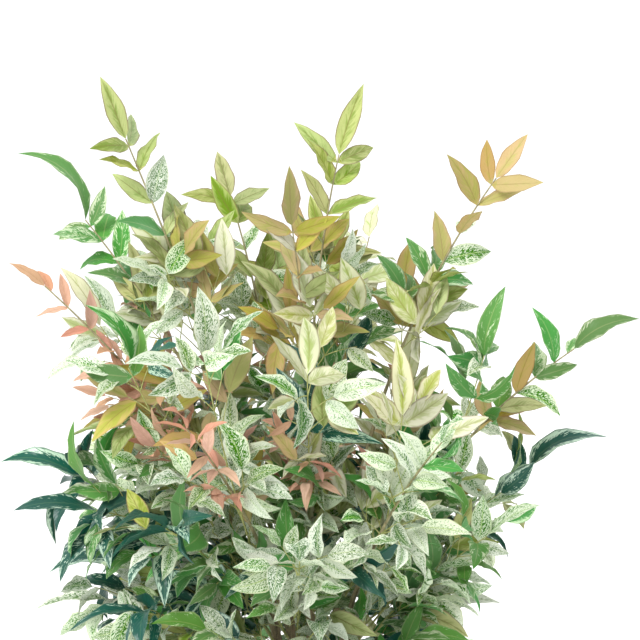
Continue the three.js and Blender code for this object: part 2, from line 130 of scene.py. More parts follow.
LEAF = {
    "widest": 0.42,
    "widest_growth": 1.25,  # of a long leaf's width, over its kind's own
    "side_scale": 0.92,  # of a side leaflet, over one at a twig's end
    "spread": (40, 74),
    "rise": (-0.35, 0.25),  # how far a side leaflet rises from its twig's own plane
    "tilt": 0.25,
    "sizes": (1, 0.9, 0.8),  # tried in turn until one fits
    "slimness": (0.85, 1.15),
    "sweep": (-0.16, 0.16),
    "twist": (-0.6, 0.6),
    "own_room": 0.28,  # between two leaflets' middles, as a share of the length
    "girth": 0.3,
    "most": 20000,  # leaflets that there is room to note
}
TWIG = {
    "leans": (30, 60),
    "lengths": (0.75, 1.2),
    "tries": 6,
    "shrink": 0.1,  # of the length, at each new try
    "crest": 0.07,
    "shortest": 0.014,  # under this, one leaflet grows in the twig's place
    "leaf_pairs": 2,
    "pair_spacing": 0.028,
    "leafy": 0.85,  # of its length, from its end; the foot stays bare
    "radii": (0.0008, 0.00045),
    "runs": 4,
}
STALK_RUNS = 16
SPACE_GAP = 0.0012
LIMB_GAP = 0.0012
LIGHT = (0.1, -1.0, 0.0)
RULES = {  # how tip sprays grow, and how side sprays do
    "pairs": (6, 16),
    "first": (0.04, 0.14),
    "last": (0.84, 0.94),
    "longest": (0.095, 0.098),
    "shortest": (0.0, 0.048),
    "slope": (2.2, 1.0),  # how fast the twigs shorten towards the stalk's end
    "twist": (38, 55),
    "lift": (0.2, 0.0),
    "outward": (0.1, 0.8),
    "light": (0.9, 0.35),
    "chance": (0.5, 0.8),  # of a blade's facing
    "setback": (0.010, 0.012),  # of the last pair from the twig's end
    "grown": ((0.95, 1.3), (0.85, 1.35)),
    "fewest_leaves": (1, 2),
    "leading_share": ((0.3, 0.9), (0.2, 0.3)),  # of twigs in the leading kind, from foot to end
    "stalk_radii": ((0.0018, 0.0008), (0.0018, 0.0007)),
}
SPRAY = {rule: {label: RULES[label][k] for label in RULES} for k, rule in enumerate(("tip", "side"))}
FORKS = {
    "last": 0.8,  # of the stalk's length; twigs beyond it don't fork
    "places": (0.3, 0.62),
    "share": 0.42,
    "least_reach": 0.045,
    "kept_kind": 0.5,  # of the fork's twigs, in the kind of the twig that bears them
}

# Where the tints lie: leaf kinds by height, and places where one kind gathers.
TINTS_BY_HEIGHT = {
    "height": [0.28, 0.40, 0.51, 0.60, 0.70, 0.85],
    "cream": [44, 44, 44, 50, 50, 40],
    "teal": [10, 12, 9, 1, 0, 0],
    "green": [56, 44, 27, 20, 14, 9],
    "lime": [0, 3, 12, 16, 19, 18],
    "olive": [21, 19, 13, 16, 20, 28],
    "gold": [0, 0, 10, 8, 6, 12],
    "coral": [0, 1, 4, 1, 0, 0],
}
TINT_PLACES = [  # kind, x, z, reach across, reach up, weight
    ("coral", -0.12, 0.505, 0.14, 0.045, 36),
    ("coral", 0.06, 0.455, 0.10, 0.030, 25),
    ("coral", -0.33, 0.66, 0.06, 0.06, 90),
    ("gold", -0.08, 0.53, 0.20, 0.06, 20),
    ("gold", 0.20, 0.49, 0.08, 0.04, 22),
    ("gold", -0.04, 0.77, 0.05, 0.06, 50),
    ("gold", 0.00, 0.65, 0.14, 0.08, 25),
    ("lime", 0.00, 0.60, 0.18, 0.12, 35),
    ("teal", -0.33, 0.42, 0.10, 0.12, 42),
    ("teal", -0.26, 0.27, 0.10, 0.08, 15),
    ("teal", 0.14, 0.25, 0.10, 0.05, 35),
    ("green", 0.36, 0.58, 0.10, 0.08, 60),
    ("green", 0.16, 0.70, 0.09, 0.10, 35),
]

# ---- small helpers ----
UP = np.array([0.0, 0.0, 1.0])
LENGTH_RUNS = 200
NEARLY_PARALLEL = 1e-15
NO_LENGTH = 1e-12


def unit(vector):
    return vector / np.linalg.norm(vector)


def square_to(run, vector):
    """The direction nearest to a vector that is square to a run."""
    return unit(vector - run * (vector @ run))


def compass(degrees):
    return np.array([math.cos(math.radians(degrees)), math.sin(math.radians(degrees)), 0.0])


def lerp(low, high, share):
    return low + (high - low) * share


def dice(seed):
    """A seeded row of numbers, the same as the model's own."""
    state = (seed * DICE["spread"] + DICE["start"]) % DICE["period"]

    def roll(low=0.0, high=1.0):
        nonlocal state
        state = (DICE["factor"] * state + DICE["step"]) % DICE["period"]
        return low + (high - low) * (state / DICE["period"])

    return roll


class Line:
    """The middle line of a limb or a twig: a cubic curve."""

    def __init__(self, *corners):
        self.corners = np.array(corners, float)
        walk = self.runs(0, 1, LENGTH_RUNS)
        self.length = np.linalg.norm(np.diff(walk, axis=0), axis=1).sum()

    def at(self, t):
        t = np.asarray(t, float)[..., None]
        a, b, c, d = self.corners
        s = 1 - t
        return a * s**3 + b * 3 * s**2 * t + c * 3 * s * t**2 + d * t**3

    def run(self, t):
        a, b, c, d = self.corners
        s = 1 - t
        return unit((b - a) * s**2 + (c - b) * 2 * s * t + (d - c) * t**2)

    def runs(self, start, end, count=AXIS_RUNS):
        return self.at(np.linspace(start, end, count + 1))


# ---- the clump's lines ----
def cane_line(tip, ring, index, bow):
    tip = np.array(tip)
    foot = compass(SECTOR * index) * CANE["ring"] * ring
    foot[2] = ROOT["height"] + CLEARANCE
    size = np.linalg.norm(tip - foot)
    outward = (tip - foot) * (1, 1, 0)
    pitch = math.atan2(tip[2] - foot[2], np.linalg.norm(outward)) - math.radians(bow)
    end = unit(outward) * math.cos(pitch) + UP * math.sin(pitch)
    return Line(foot, foot + UP * size * CANE["rise"], tip - end * size * CANE["arch"], tip)


def cane_radius(t):
    return lerp(CANE["foot_radius"], CANE["tip_radius"], t / CANE["share"])


def stalk_line(line, at, aim):
    centre = line.at(at)
    along = line.run(at)
    outward = unit((aim - centre) * (1, 1, 0))
    square = square_to(along, outward)
    start = centre + square * (cane_radius(at) + CLEARANCE)
    reach = np.linalg.norm(aim - start)
    crest = start + outward * reach * STALK["spread"] + UP * reach * STALK["climb"]
    return Line(start, start + square * STALK["straight"], crest, aim)


def segment_gaps(starts, ends, others_start, others_end):
    """The shortest way between each of some segments and each of others."""
    u = (ends - starts)[:, None]
    v = (others_end - others_start)[None]
    w = starts[:, None] - others_start[None]
    uu, vv, uv = (u * u).sum(-1), (v * v).sum(-1), (u * v).sum(-1)
    uw, vw = (u * w).sum(-1), (v * w).sum(-1)
    slack = uu * vv - uv * uv
    s = np.clip((uv * vw - vv * uw) / np.maximum(slack, NEARLY_PARALLEL), 0, 1)
    s = np.where(slack > NEARLY_PARALLEL, s, 0)
    t = np.clip((uv * s + vw) / np.maximum(vv, NO_LENGTH), 0, 1)
    s = np.clip((uv * t - uw) / np.maximum(uu, NO_LENGTH), 0, 1)
    return np.linalg.norm(w + u * s[..., None] - v * t[..., None], axis=-1)


def axes_gap(one, other):
    return segment_gaps(one[:-1], one[1:], other[:-1], other[1:]).min()


def side_route(cane, axes, tier, k):
    """A side stalk takes the first turn, either way from its sector, that crosses no other limb."""
    roll = dice(STALK_SEED["first"] + cane["index"] * STALK_SEED["each_cane"] + k)
    tier = tier | OWN_PLACES.get((cane["name"], tier["name"]), {})
    sector = SECTOR * cane["index"] + tier["turn"] + roll(-TURN_WANDER, TURN_WANDER)
    height = tier["height"] + roll(-TIER_WANDER, TIER_WANDER)
    at = tier["step"] / CANE["steps"] * CANE["share"]
    routes = []
    for turn in TURN_TRIES:
        aim = compass(sector + turn * TURN_STEP) * tier["radius"] + (tier["middle"], 0, height)
        line = stalk_line(cane["line"], at, aim)
        axis = line.runs(0, 1)
        routes.append((line, axis))
        if all(axes_gap(axis, other) > STALK_GAP for other in axes):
            return line, axis
    return routes[0]


def clump_lines():
    """The canes, and the line, axis, rule and leading kind of every spray."""
    canes, sprays = [], []
    for index, (name, tip, ring, kinds, end) in enumerate(CANES):
        line = cane_line(tip, ring, index, end[3])
        axis = line.runs(0, CANE["share"])
        cane = {"name": name, "index": index, "line": line, "axis": axis, "kinds": kinds}
        canes.append(cane)
        start = CANE["share"] + CLEARANCE / line.length
        spray = {"name": f"spray_{name}_tip", "rule": "tip", "kind": kinds[0], "end": end}
        spray |= {"line": line, "start": start, "axis": line.runs(start, 1)}
        sprays.append(spray | {"reach": TIP_REACH.get(name, 1)})
    for k, tier in enumerate(TIERS):
        for cane in canes:
            others = [limb["axis"] for limb in canes + sprays if limb is not cane]
            line, axis = side_route(cane, others, tier, k)
            spray = {"name": f"spray_{cane['name']}_{tier['name']}", "rule": "side", "end": None}
            spray |= {"kind": cane["kinds"][k + 1], "reach": 1}
            sprays.append(spray | {"line": line, "start": 0, "axis": axis})
    return canes, sprays


# ---- the growth of twigs and leaflets ----
class Growth:
    """Twigs and leaflets, grown spray by spray, each kept to its own spray's space."""

    def __init__(self, canes, sprays):
        self.leaves, self.twigs = [], []
        self.stalks = {rule: [] for rule in SPRAY}
        self.middles = np.zeros((LEAF["most"], 3))
        self.starts = np.concatenate([spray["axis"][:-1] for spray in sprays])
        self.ends = np.concatenate([spray["axis"][1:] for spray in sprays])
        self.cane_starts = np.concatenate([cane["axis"][:-1] for cane in canes])
        self.cane_ends = np.concatenate([cane["axis"][1:] for cane in canes])

    def in_own_space(self, points):
        gaps = segment_gaps(points, points, self.starts, self.ends)
        gaps = gaps.reshape(len(points), -1, AXIS_RUNS).min(axis=2)
        mine = gaps[:, self.own] + SPACE_GAP
        gaps[:, self.own] = np.inf
        return (mine < gaps.min(axis=1)).all()

    def in_crown(self, points):
        heights = points[:, 2]
        width = np.interp(heights, CROWN["height"], CROWN["radius"])
        middle = np.interp(heights, CROWN["height"], CROWN["middle"])
        away = np.hypot(points[:, 0] - middle, points[:, 1])
        return (heights > LOWEST_LEAF).all() and (away < width).all()

    def clear_of_canes(self, start, end, half_width):
        gaps = segment_gaps(start[None], end[None], self.cane_starts, self.cane_ends)
        return gaps.min() > CANE["foot_radius"] + half_width + LIMB_GAP

    def has_room(self, middle, length):
        taken = self.middles[: len(self.leaves)]
        if len(taken) == 0:
            return True
        return np.linalg.norm(taken - middle, axis=1).min() > LEAF["own_room"] * length

    def blade_normal(self, point, along):
        """A blade faces up, outward and to the light, with some chance, square to its run."""
        rule, chance = self.rule, self.rule["chance"]
        facing = unit(point * (1, 1, 0)) * rule["outward"] + np.array(LIGHT) * rule["light"] + UP
        facing += np.array([self.roll(-chance, chance) for _ in range(3)])
        return square_to(along, facing)

    def add_leaf(self, kind, root, along, normal, length, arch):
        """One leaflet, with its own chance of width, fold, curl, sweep and twist."""
        rule, roll = KINDS[kind], self.roll
        width = min(length * rule["width"] / rule["length"], rule["width"] * LEAF["widest_growth"])
        width *= roll(*LEAF["slimness"])
        self.middles[len(self.leaves)] = root + along * length * LEAF["widest"]
        leaf = {"kind": kind, "root": root, "along": along, "normal": normal}
        leaf |= {"length": length, "width": width, "arch": arch}
        leaf |= {"fold": roll(*rule["fold"]), "curl": roll(*rule["curl"])}
        leaf |= {"sweep": roll(*LEAF["sweep"]), "twist": roll(*LEAF["twist"]), "tint": roll()}
        self.leaves.append(leaf)

    def leaf(self, kind, root, along, normal, scale=1.0):
        """The largest leaflet that fits here, or none."""
        side = unit(np.cross(along, normal))
        grown = self.roll(*self.rule["grown"]) * scale
        arch = self.roll(*KINDS[kind]["arch"])
        for size in LEAF["sizes"]:
            length = KINDS[kind]["length"] * grown * size
            width = KINDS[kind]["width"] * grown * size
            middle = root + along * length * LEAF["widest"]
            tip = root + along * length
            corners = np.array([tip, middle - side * width / 2, middle + side * width / 2])
            if not (self.in_crown(corners) and self.has_room(middle, length)):
                continue
            if not self.in_own_space(corners):
                continue
            if self.clear_of_canes(root, tip, width * LEAF["girth"]):
                self.add_leaf(kind, root, along, normal, length, arch)
                return

    def leaf_pair(self, kind, root, along):
        normal = self.blade_normal(root, along)
        side = unit(np.cross(along, normal))
        for hand in (-1, 1):
            way = lean_to(along, side, self.roll(*LEAF["spread"]) * hand)
            way = unit(way + normal * self.roll(*LEAF["rise"]))
            tilt = square_to(way, normal - side * hand * LEAF["tilt"])
            self.leaf(kind, root, way, tilt, LEAF["side_scale"])

    def twig(self, kinds_at, root, along, side, reach, forks=True):
        """A twig is shortened and turned until it fits and carries enough leaflets."""
        for attempt in range(TWIG["tries"]):
            way = lean_to(along, side, self.roll(*TWIG["leans"]))
            length = reach * self.roll(*TWIG["lengths"]) * (1 - TWIG["shrink"] * attempt)
            if length < TWIG["shortest"]:
                kind = kinds_at(root, self.roll)
                self.leaf(kind, root, way, self.blade_normal(root, way))
                return
            end = root + way * length + UP * length * self.rule["lift"]
            crest = (root + end) / 2 + UP * length * TWIG["crest"]
            points = np.array([crest, end])
            if not (self.in_crown(points) and self.in_own_space(points)):
                continue
            if not self.clear_of_canes(root, end, TWIG["radii"][0]):
                continue
            line = Line(root, (root + 2 * crest) / 3, (end + 2 * crest) / 3, end)
            leaves, twigs = len(self.leaves), len(self.twigs)
            kind = kinds_at(end, self.roll)
            self.leaves_on(kind, line, length, TWIG["leaf_pairs"] if forks else 1)
            if forks and length > FORKS["least_reach"]:
                self.fork(kind, kinds_at, line, length * FORKS["share"])
            if len(self.leaves) - leaves < self.rule["fewest_leaves"]:
                del self.leaves[leaves:], self.twigs[twigs:]
                continue
            self.twigs.append((line.runs(0, 1, TWIG["runs"]), TWIG["radii"]))
            return

    def fork(self, kind, kinds_at, line, reach):
        """Pairs of finer twigs on a twig, about half of them kept to its own kind."""
        fork_kinds = leading(kind, FORKS["kept_kind"], kinds_at)
        for place in FORKS["places"]:
            root, run = line.at(place), line.run(place)
            out = np.cross(run, self.blade_normal(root, run))
            for hand in (1, -1):
                self.twig(fork_kinds, root, run, out * hand, reach, forks=False)

    def leaves_on(self, kind, line, length, pairs):
        """A twig's end leaflet and its pairs, the first just behind it and the rest down the twig."""
        end, way = line.at(1), line.run(1)
        self.leaf(kind, end, way, self.blade_normal(end, way))
        for k in range(pairs):
            back = (self.rule["setback"] + TWIG["pair_spacing"] * k) / length
            if back > TWIG["leafy"]:
                return
            self.leaf_pair(kind, line.at(1 - back), line.run(1 - back))

    def end_leaf(self, spray):
        """The leaf at a stalk's end: its tip lands on the line's own end. Returns where it starts."""
        line = spray["line"]
        if spray["end"]:
            chord, arch, front, _ = spray["end"]
        else:
            chord = KINDS[spray["kind"]]["length"]
            arch, front = self.roll(*SIDE_END_ARCH), SIDE_END_FRONT
        start = 1 - chord / line.length
        span = line.at(1) - line.at(start)
        chord = np.linalg.norm(span)
        straight = span / chord
        normal = square_to(straight, UP + np.array(LIGHT) * front)
        along = lean_to(straight, normal, math.degrees(arch / 2))
        normal = square_to(along, normal)
        length = chord * (arch / 2) / math.sin(arch / 2)
        self.add_leaf(spray["kind"], line.at(start), along, normal, length, arch)
        return start

    def grow(self, own, spray):
        """A spray's stalk, its end leaflets and its twigs in pairs."""
        self.own, self.roll = own, dice(own + 1)
        self.rule = rule = SPRAY[spray["rule"]]
        line, start, kind = spray["line"], spray["start"], spray["kind"]
        leafless = self.end_leaf(spray)
        stalk = line.runs(start, leafless, STALK_RUNS)
        self.stalks[spray["rule"]].append((stalk, rule["stalk_radii"]))

        way = line.run(leafless)
        self.leaf_pair(kind, line.at(leafless) - way * rule["setback"], way)
        for k in range(rule["pairs"]):
            share = k / (rule["pairs"] - 1)
            t = lerp(start, leafless, lerp(rule["first"], rule["last"], share))
            root, way = line.at(t), line.run(t)
            twist = math.radians(rule["twist"] * (1 if k % 2 else -1))
            side = np.cross(way, self.blade_normal(root, way))
            side = side * math.cos(twist) + np.cross(way, side) * math.sin(twist)
            reach = rule["longest"] * spray["reach"]
            reach = lerp(rule["shortest"], reach, (1 - share) ** rule["slope"])
            kinds_at = leading(kind, lerp(*rule["leading_share"], share))
            for hand in (1, -1):
                self.twig(kinds_at, root, way, side * hand, reach, share < FORKS["last"])


def lean_to(along, side, degrees):
    lean = math.radians(degrees)
    return along * math.cos(lean) + side * math.sin(lean)


def leading(kind, share, others=None):
    """A way of choosing kinds: the leading one for its share of the twigs, and the others."""

    def kinds_at(point, roll):
        return kind if roll() < share else (others or tint_at)(point, roll)

    return kinds_at


def tint_at(point, roll):
    """The kind of leaf on a twig: chance, weighed by height and by the places above."""
    x, _, z = point
    heights = TINTS_BY_HEIGHT["height"]
    weights = {kind: np.interp(z, heights, TINTS_BY_HEIGHT[kind]) for kind in KINDS}
    for kind, at_x, at_z, across, up, weight in TINT_PLACES:
        away = ((x - at_x) / across) ** 2 + ((z - at_z) / up) ** 2
        weights[kind] += weight * math.exp(-away)
    pick = roll(0, sum(weights.values()))
    for kind, weight in weights.items():
        pick -= weight
        if pick <= 0:
            return kind
    return "cream"  # where rounding leaves a rest


# ---- trees of nodes ----
class Wiring:
    """A node tree under construction: a node is made, set and joined in one call."""

    def __init__(self, tree):
        self.tree = tree

    def node(self, kind, inputs=None, **settings):
        made = self.tree.nodes.new(kind)
        for name, value in settings.items():
            setattr(made, name, value)
        for name, value in (inputs or {}).items():
            socket = made.inputs[name]
            if isinstance(value, bpy.types.NodeSocket):
                self.tree.links.new(value, socket)
            else:
                socket.default_value = value
        return made

    def out(self, kind, inputs=None, **settings):
        """A new node's first output."""
        return self.node(kind, inputs, **settings).outputs[0]

    def math(self, operation, *values):
        return self.out("ShaderNodeMath", dict(enumerate(values)), operation=operation)

    def vector(self, operation, inputs):
        return self.out("ShaderNodeVectorMath", inputs, operation=operation)

    def times(self, vector, number):
        return self.vector("SCALE", {0: vector, "Scale": number})

    def total(self, *vectors):
        result = vectors[0]
        for vector in vectors[1:]:
            result = self.vector("ADD", {0: result, 1: vector})
        return result

    def product(self, *numbers):
        result = numbers[0]
        for number in numbers[1:]:
            result = self.math("MULTIPLY", result, number)
        return result

    def noise(self, place, scale, detail):
        inputs = {"Vector": place, "Scale": scale, "Detail": detail}
        return self.node("ShaderNodeTexNoise", inputs).outputs["Fac"]

    def ramp(self, value, inputs, **settings):
        return self.out("ShaderNodeMapRange", {"Value": value} | inputs, **settings)

    def mixed(self, share, below, above):
        """A colour between two others, each a socket or three plain numbers."""
        below, above = (tone + (1,) if isinstance(tone, tuple) else tone for tone in (below, above))
        return self.node("ShaderNodeMix", {0: share, 6: below, 7: above}, data_type="RGBA").outputs[2]

    def painted(self, geometry, material):
        """The geometry, smooth and in its material, as the tree's result."""
        smooth = self.out("GeometryNodeSetShadeSmooth", {"Geometry": geometry})
        inputs = {"Geometry": smooth, "Material": material}
        finished = self.out("GeometryNodeSetMaterial", inputs)
        self.node("NodeGroupOutput", {"Geometry": finished})


def geometry_tree(name, sockets):
    """An empty geometry tree with a geometry in and out and the named inputs."""
    tree = bpy.data.node_groups.new(name, "GeometryNodeTree")
    tree.interface.new_socket("Geometry", in_out="INPUT", socket_type="NodeSocketGeometry")
    for label, kind, value in sockets:
        socket = tree.interface.new_socket(label, in_out="INPUT", socket_type=f"NodeSocket{kind}")
        if value is not None:
            socket.default_value = value
    tree.interface.new_socket("Geometry", in_out="OUTPUT", socket_type="NodeSocketGeometry")
    wiring = Wiring(tree)
    return wiring, wiring.node("NodeGroupInput").outputs


def named(wiring, label, kind="FLOAT"):
    made = wiring.node("GeometryNodeInputNamedAttribute", {"Name": label}, data_type=kind)
    return made.outputs["Attribute"]


def stored(wiring, geometry, label, value, kind="FLOAT", domain="POINT"):
    inputs = {"Geometry": geometry, "Name": label, "Value": value}
    return wiring.out("GeometryNodeStoreNamedAttribute", inputs, data_type=kind, domain=domain)


BLADE = {
    "base": 0.80,  # powers of the outline's rise from the base and fall to the tip
    "tip": 1.08,
    "rows": 9,
    "columns": 4,
    "curl_power": 4.0,
    "ripple": 0.16,  # height of the edges' waves, as a share of the half width
    "waves": 15.0,  # how tight they are along the blade and across it, in radians
    "waves_across": 2.0,
    "waves_shift": 40.0,  # from leaf to leaf
    "weld": 1e-5,
}
LEAF_NUMBERS = ("root", "along", "normal", "length", "width", "arch", "fold", "curl", "sweep", "twist")


def blade_tree():
    """Leaflets from points: a grid at each point is bent, folded and cut to a pointed outline."""
    widest = BLADE["base"] / (BLADE["base"] + BLADE["tip"])
    sockets = [
        ("Rows", "Int", BLADE["rows"]),
        ("Columns", "Int", BLADE["columns"]),
        ("Ripple", "Float", BLADE["ripple"]),
        ("Base Power", "Float", BLADE["base"]),
        ("Tip Power", "Float", BLADE["tip"]),
        ("Fullness", "Float", 1 / (widest**BLADE["base"] * (1 - widest) ** BLADE["tip"])),
        ("Finish", "Material", None),
    ]
    w, given = geometry_tree("leaf_blades", sockets)
    corners = {}
    for axis, label in (("X", "Rows"), ("Y", "Columns")):
        count = w.out("FunctionNodeIntegerMath", {0: given[label], 1: 1}, operation="ADD")
        corners[f"Vertices {axis}"] = count
    grid = w.node("GeometryNodeMeshGrid", corners)
    place = w.node("ShaderNodeSeparateXYZ", {0: w.out("GeometryNodeInputPosition")}).outputs
    blade = stored(w, grid.outputs["Mesh"], "UVMap", grid.outputs["UV Map"], "FLOAT2", "CORNER")
    blade = stored(w, blade, "blade_u", w.math("ADD", place["X"], 0.5))
    blade = stored(w, blade, "blade_v", w.math("MULTIPLY", place["Y"], 2.0))
    copies = w.node("GeometryNodeInstanceOnPoints", {"Points": given["Geometry"], "Instance": blade})
    leaves = w.out("GeometryNodeRealizeInstances", {"Geometry": copies.outputs[0]})

    u, v = named(w, "blade_u"), named(w, "blade_v")
    along, normal = named(w, "along", "FLOAT_VECTOR"), named(w, "normal", "FLOAT_VECTOR")
    length, arch, tint = named(w, "length"), named(w, "arch"), named(w, "tint")
    rise = w.math("POWER", u, given["Base Power"])
    fall = w.math("POWER", w.math("SUBTRACT", 1.0, u), given["Tip Power"])
    outline = w.product(rise, fall, given["Fullness"])
    half = w.product(named(w, "width"), 0.5, outline)

    bend = w.product(arch, u)
    sine, cosine = w.math("SINE", bend), w.math("COSINE", bend)
    reach = w.math("DIVIDE", w.product(length, sine), arch)
    drop = w.math("DIVIDE", w.product(length, w.math("SUBTRACT", cosine, 1.0)), arch)
    curl = w.product(w.math("POWER", u, BLADE["curl_power"]), w.product(named(w, "curl"), length))
    drop = w.math("SUBTRACT", drop, curl)
    spine = w.total(named(w, "root", "FLOAT_VECTOR"), w.times(along, reach), w.times(normal, drop))
    lift = w.total(w.times(normal, cosine), w.times(along, sine))

    turn = w.product(named(w, "twist"), u)
    flat = w.vector("CROSS_PRODUCT", {0: normal, 1: along})
    sweep = w.product(u, u, w.product(named(w, "sweep"), length))
    spine = w.total(spine, w.times(flat, sweep))
    sine, cosine = w.math("SINE", turn), w.math("COSINE", turn)
    side = w.total(w.times(flat, cosine), w.times(lift, sine))
    lift = w.total(w.times(lift, cosine), w.times(flat, w.product(sine, -1.0)))

    across = w.product(v, half)
    fold = w.product(w.math("ABSOLUTE", across), named(w, "fold"))
    phase = w.math("ADD", w.product(u, BLADE["waves"]), w.product(tint, BLADE["waves_shift"]))
    wave = w.math("SINE", w.math("ADD", phase, w.product(v, BLADE["waves_across"])))
    wave = w.product(wave, w.product(v, v, given["Ripple"]), half)
    height = w.math("ADD", fold, wave)
    position = w.total(spine, w.times(side, across), w.times(lift, height))
    leaves = w.out("GeometryNodeSetPosition", {"Geometry": leaves, "Position": position})
    seams = {"Geometry": leaves, "Distance": BLADE["weld"]}
    leaves = w.out("GeometryNodeMergeByDistance", seams)
    for label in ("blade_u", "blade_v") + LEAF_NUMBERS:
        leaves = w.out("GeometryNodeRemoveAttribute", {"Geometry": leaves, "Name": label})
    w.painted(leaves, given["Finish"])
    return w.tree


def stem_tree():
    """Round tapering stems along chains of edges, from the radius at each point."""
    w, given = geometry_tree("stems", [("Sides", "Int", None), ("Finish", "Material", None)])
    curves = w.out("GeometryNodeMeshToCurve", {"Mesh": given["Geometry"]})
    ring = w.node("GeometryNodeCurvePrimitiveCircle", {"Resolution": given["Sides"], "Radius": 1.0})
    inputs = {"Curve": curves, "Profile Curve": ring.outputs[0], "Fill Caps": True}
    inputs["Scale"] = named(w, "thickness")
    stems = w.out("GeometryNodeCurveToMesh", inputs)
    stems = w.out("GeometryNodeRealizeInstances", {"Geometry": stems})
    w.painted(stems, given["Finish"])
    return w.tree


def in_scene(name, data):
    """A new object that shows the given data."""
    made = bpy.data.objects.new(name, data)
    bpy.context.scene.collection.objects.link(made)
    return made


def carrier(name, points, edges, attributes):
    """A bare mesh of points, and edges between them, with the numbers that a tree reads."""
    mesh = bpy.data.meshes.new(name)
    mesh.from_pydata([tuple(p) for p in points], edges, [])
    for label, values in attributes.items():
        values = np.asarray(values, np.float32)
        kind, field = ("FLOAT_VECTOR", "vector") if values.ndim == 2 else ("FLOAT", "value")
        mesh.attributes.new(label, kind, "POINT").data.foreach_set(field, values.ravel())
    return in_scene(name, mesh)


def shaped(piece, tree, inputs):
    """Makes the piece a plain mesh, as the tree shapes it."""
    modifier = piece.modifiers.new("shape", "NODES")
    modifier.node_group = tree
    for item in tree.interface.items_tree:
        if item.item_type == "SOCKET" and item.in_out == "INPUT" and item.name in inputs:
            modifier[item.identifier] = inputs[item.name]
    graph = bpy.context.evaluated_depsgraph_get()
    graph.update()
    grown = piece.evaluated_get(graph)
    mesh = bpy.data.meshes.new_from_object(grown, preserve_all_data_layers=True, depsgraph=graph)
    piece.modifiers.clear()
    piece.data = mesh
    mesh.name = piece.name


# ---- finishes ----
LEAF_PATTERN = {  # places are shares of the blade's length and width
    "midrib": 0.5,
    "rib_fade": (0.010, 0.045),  # away from the midrib
    "rib_strength": 0.7,
    "edge_fade": (0.41, 0.48),
    "edge_strength": 0.8,
    "half_way": 0.25,  # from rib to edge
    "stretch": 2.4,  # of the marks along the blade
    "shift": 91.0,  # of the marks from leaf to leaf
    "speck_detail": 2.0,
    "patch": {"scale": 2.6, "detail": 1.0},
    "tones": (0.78, 1.17),  # from leaf to leaf
    "veins": 62.0,  # in radians
    "vein_slant": 34.0,
    "relief": {"Strength": 0.15, "Distance": 0.0004},
    "slant": 1.4,  # this and the rest are for kinds of leaf with no such value of their own
    "feather": 0.6,
    "specked": 0.5,
    "rough": 0.45,
    "gloss": 0.12,
    "through": 0.12,
}
# A leaf's chances are its own number times these, less the whole part.
CHANCES = {"lean": 13.0, "cover": 29.0, "hue": 7.0, "depth": 17.0, "tones": 1.0}


def blank_material(name):
    """A new material with nothing in its tree."""
    material = bpy.data.materials.new(name)
    material.use_nodes = True
    material.node_tree.nodes.clear()
    return material, Wiring(material.node_tree)


def leaf_finish(name, rule):
    """A leaf: ground colour under marks that follow the blade, a midrib, and a thin margin line."""
    material, w = blank_material(name)
    rule = LEAF_PATTERN | rule
    uv = w.node("ShaderNodeSeparateXYZ", {0: w.out("ShaderNodeUVMap", uv_map="UVMap")}).outputs
    tint = w.node("ShaderNodeAttribute", attribute_name="tint").outputs["Fac"]
    across = w.math("ABSOLUTE", w.math("SUBTRACT", uv["Y"], rule["midrib"]))

    def chance(label):
        """A number of each leaf's own, between the rule's limits."""
        spin = w.math("FRACT", w.product(tint, CHANCES[label]))
        low, high = rule[label]
        return w.ramp(spin, {"To Min": low, "To Max": high})

    def fade(value, limits, low, high):
        limits = {"From Min": limits[0], "From Max": limits[1], "To Min": low, "To Max": high}
        return w.ramp(value, limits, interpolation_type="SMOOTHSTEP")

    slanted = w.math("SUBTRACT", w.product(uv["X"], rule["stretch"]), w.product(across, rule["slant"]))
    axes = (slanted, w.product(uv["Y"], rule["feather"]), w.product(tint, rule["shift"]))
    place = w.out("ShaderNodeCombineXYZ", dict(enumerate(axes)))
    specks = w.product(w.noise(place, rule["grain"], rule["speck_detail"]), rule["specked"])
    patches = w.product(w.noise(place, **rule["patch"]), 1 - rule["specked"])
    towards_rib = w.product(w.math("SUBTRACT", rule["half_way"], across), chance("lean"))
    field = w.math("ADD", w.math("ADD", specks, patches), towards_rib)
    field = w.math("ADD", field, chance("cover"))
    marks = fade(field, (1 - rule["soft"], 1 + rule["soft"]), 0.0, 1.0)

    colour = w.mixed(marks, rule["ground"], rule["marks"])
    ribbed = fade(across, rule["rib_fade"], rule["rib_strength"], 0.0)
    colour = w.mixed(ribbed, colour, rule["rib"])
    edged = fade(across, rule["edge_fade"], 0.0, rule["edge_strength"])
    colour = w.mixed(edged, colour, rule["edge"])
    shade = {"Hue": chance("hue"), "Value": chance("tones"), "Saturation": chance("depth")}
    colour = w.out("ShaderNodeHueSaturation", shade | {"Color": colour})
    veins = w.math("SUBTRACT", w.product(uv["X"], rule["veins"]), w.product(across, rule["vein_slant"]))
    ridges = w.out("ShaderNodeBump", {"Height": w.math("SINE", veins)} | rule["relief"])
    gloss = {"Roughness": rule["rough"], "Specular IOR Level": rule["gloss"]}
    inputs = {"Base Color": colour, "Normal": ridges} | gloss
    surface = w.out("ShaderNodeBsdfPrincipled", inputs)
    glow = w.out("ShaderNodeBsdfTranslucent", {"Color": colour})
    both = w.out("ShaderNodeMixShader", {0: rule["through"], 1: surface, 2: glow})
    w.node("ShaderNodeOutputMaterial", {"Surface": both})
    return material


